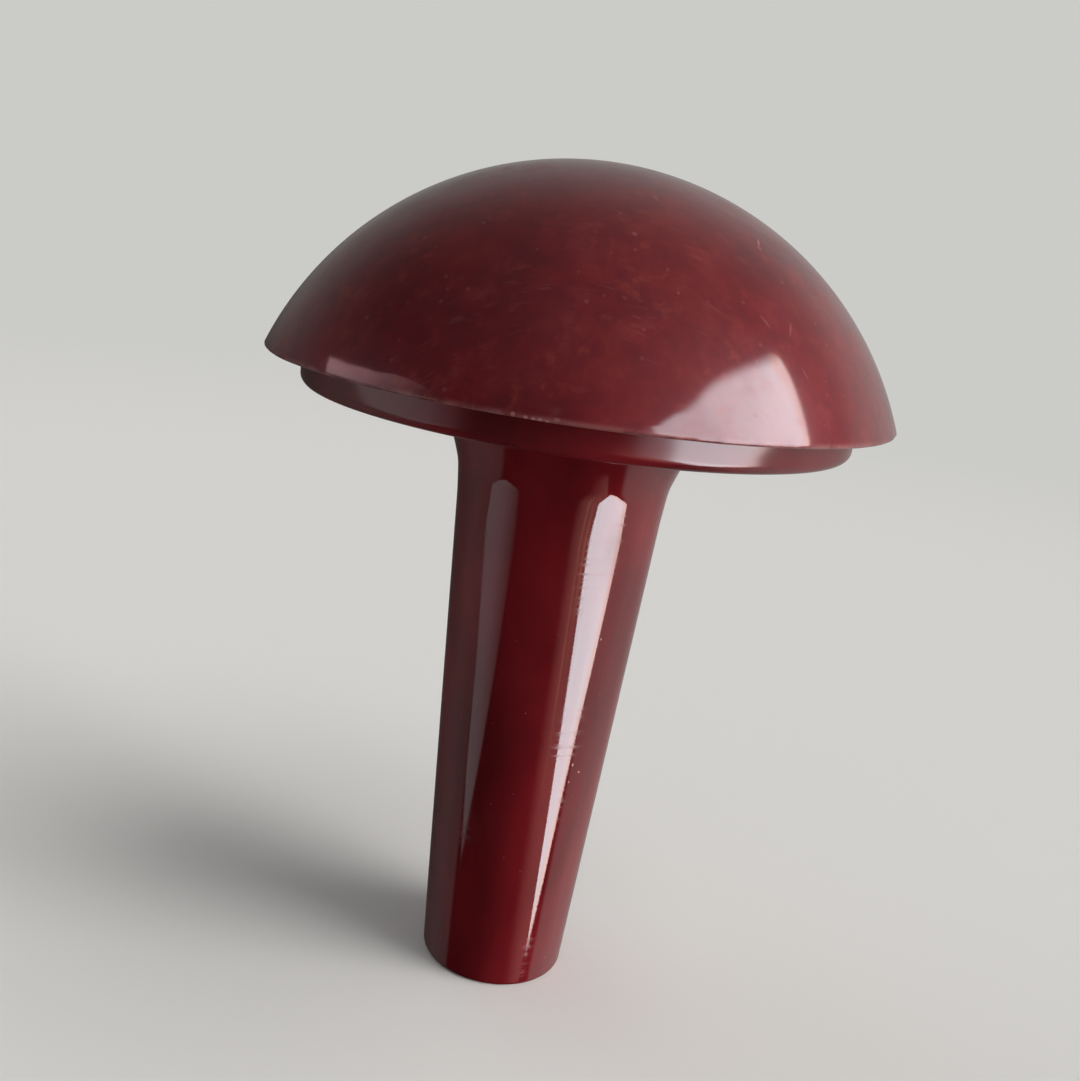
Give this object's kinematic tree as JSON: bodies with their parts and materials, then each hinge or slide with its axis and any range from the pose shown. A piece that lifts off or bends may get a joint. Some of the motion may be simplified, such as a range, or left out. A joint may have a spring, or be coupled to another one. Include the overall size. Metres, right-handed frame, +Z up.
{
  "type": "darning mushroom",
  "caption": "Darning mushroom with a domed cap that screws down on a flanged stem, and a hollow tapered handle that stores needles.",
  "frame": {"origin": "centre of the handle's flat foot", "axes": "+Z up the common axis, from the foot to the crown of the cap; the object is round, so +X and +Y are equal"},
  "size_m": [0.075, 0.075, 0.1039],
  "materials": {
    "cap_moulding": "worn, hazy gloss, mottled dark cherry red",
    "stem_moulding": "polished, dark cherry red"
  },
  "bodies": {
    "stem": {"stem": "stem_moulding"},
    "cap": {"cap": "cap_moulding"}
  },
  "joints": [
    {"name": "cap_unscrew", "type": "slide", "parent": "stem", "child": "cap", "axis": [0, 0, 1], "range_m": [0, 0.014]}
  ]
}
